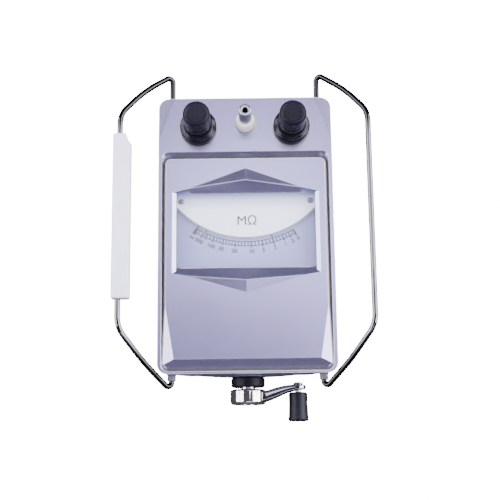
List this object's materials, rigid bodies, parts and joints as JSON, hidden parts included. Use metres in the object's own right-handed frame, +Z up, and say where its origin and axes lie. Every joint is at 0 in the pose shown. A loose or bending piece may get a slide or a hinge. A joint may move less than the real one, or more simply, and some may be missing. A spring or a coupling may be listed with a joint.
{
  "type": "insulation resistance tester",
  "caption": "Portable hand-cranked insulation resistance tester with a windowed dial, screw terminals, folding wire handles and a crank that drives a generator.",
  "frame": {"origin": "middle of the whole object at the height of the surface its feet stand on", "axes": "+X to the right across the dial, +Y from the crank end to the terminal end, +Z up"},
  "size_m": [0.1746, 0.2422, 0.15],
  "materials": {
    "painted_die_casting": "satin lilac-grey paint",
    "chrome_plate": "bright chrome",
    "plated_steel": "zinc plated",
    "gear_steel": "turned",
    "brass": "turned brass",
    "casting": "as cast",
    "core_iron": "blackened soft iron",
    "magnet": "sintered magnet",
    "winding": "enamelled copper wire",
    "gloss_black": "gloss moulded",
    "rubber": "matt",
    "nylon": "natural nylon",
    "white_plastic": "satin",
    "porcelain": "glazed insulator",
    "clear_window": "polished",
    "dial_print": "printed, satin",
    "dial_mask": "white, satin",
    "fibreglass": "coated laminate",
    "sleeve": "shrink sleeve"
  },
  "bodies": {
    "case": {"circuit_board": "fibreglass", "crank_bearing": "brass", "crank_collar": "gloss_black", "dial_mask": "dial_mask", "dial_plate": "dial_print", "dial_screw_left": "plated_steel", "dial_screw_right": "plated_steel", "earth_nut": "brass", "earth_stud": "brass", "earth_terminal_base": "gloss_black", "filter_capacitor_a": "sleeve", "filter_capacitor_b": "sleeve", "gear_frame": "casting", "guard_insulator": "porcelain", "guard_nut": "brass", "guard_post": "plated_steel", "left_far_bail_bush": "nylon", "left_far_case_screw": "plated_steel", "left_far_foot": "rubber", "left_near_bail_bush": "nylon", "left_near_case_screw": "plated_steel", "left_near_foot": "rubber", "line_nut": "brass", "line_stud": "brass", "line_terminal_base": "gloss_black", "lower_case": "painted_die_casting", "movement_bracket": "casting", "movement_core": "core_iron", "movement_magnet": "magnet", "rear_bearing_plate": "casting", "right_far_bail_bush": "nylon", "right_far_case_screw": "plated_steel", "right_far_foot": "rubber", "right_near_bail_bush": "nylon", "right_near_case_screw": "plated_steel", "right_near_foot": "rubber", "stator_coil": "winding", "stator_front": "core_iron", "stator_rear": "core_iron", "top_cover": "painted_die_casting", "window_glass": "clear_window"},
    "meter": {"pointer_coil": "winding", "pointer": "gloss_black"},
    "crank": {"crank_shaft": "plated_steel", "crank_gear": "brass", "crank_arm": "chrome_plate", "crank_screw": "plated_steel", "grip_pin": "chrome_plate"},
    "grip": {"crank_grip": "gloss_black"},
    "idler": {"idler_shaft": "gear_steel", "idler_gear": "brass"},
    "rotor": {"rotor_shaft": "gear_steel", "rotor_magnet": "magnet"},
    "left_handle": {"left_bail": "chrome_plate", "left_bail_grip": "white_plastic"},
    "right_handle": {"right_bail": "chrome_plate"},
    "line_clamp": {"line_clamp_washer": "brass"},
    "line_screw": {"line_knob": "gloss_black"},
    "earth_clamp": {"earth_clamp_washer": "brass"},
    "earth_screw": {"earth_knob": "gloss_black"}
  },
  "joints": [
    {"name": "pointer_swing", "type": "hinge", "parent": "case", "child": "meter", "pos_m": [0.00215, 0.06655, 0.1091], "axis": [0, 0, 1], "range_deg": [-1.5, 62]},
    {"name": "crank_turn", "type": "hinge", "parent": "case", "child": "crank", "pos_m": [0.00175, -0.08545, 0.069], "axis": [0, 1, 0], "continuous": true},
    {"name": "grip_spin", "type": "hinge", "parent": "crank", "child": "grip", "pos_m": [0.03695, -0.11045, 0.069], "axis": [0, 1, 0], "continuous": true},
    {"name": "idler_spin", "type": "hinge", "parent": "case", "child": "idler", "pos_m": [-0.02241, -0.06545, 0.05079], "axis": [0, 1, 0], "continuous": true},
    {"name": "rotor_spin", "type": "hinge", "parent": "case", "child": "rotor", "pos_m": [-0.00276, -0.04545, 0.04035], "axis": [0, 1, 0], "continuous": true},
    {"name": "left_bail_swing", "type": "hinge", "parent": "case", "child": "left_handle", "pos_m": [-0.04935, 0.00455, 0.106], "axis": [0, 1, 0], "range_deg": [-97, 8]},
    {"name": "right_bail_swing", "type": "hinge", "parent": "case", "child": "right_handle", "pos_m": [0.05285, 0.00455, 0.106], "axis": [0, 1, 0], "range_deg": [-5, 99]},
    {"name": "line_clamp_lift", "type": "slide", "parent": "case", "child": "line_clamp", "axis": [0, 0, 1], "range_m": [0, 0.0031]},
    {"name": "line_knob_turn", "type": "hinge", "parent": "line_clamp", "child": "line_screw", "pos_m": [-0.03045, 0.07845, 0.14], "axis": [0, 0, 1], "range_deg": [0, 1080]},
    {"name": "earth_clamp_lift", "type": "slide", "parent": "case", "child": "earth_clamp", "axis": [0, 0, 1], "range_m": [0, 0.0031]},
    {"name": "earth_knob_turn", "type": "hinge", "parent": "earth_clamp", "child": "earth_screw", "pos_m": [0.03395, 0.07845, 0.14], "axis": [0, 0, 1], "range_deg": [0, 1080]}
  ],
  "couplings": [
    {"joint": "idler_spin", "follows": "crank_turn", "ratio": -5},
    {"joint": "rotor_spin", "follows": "crank_turn", "ratio": 22.5},
    {"joint": "line_clamp_lift", "follows": "line_knob_turn", "m_per_rad": 0.00015915},
    {"joint": "earth_clamp_lift", "follows": "earth_knob_turn", "m_per_rad": 0.00015915}
  ]
}
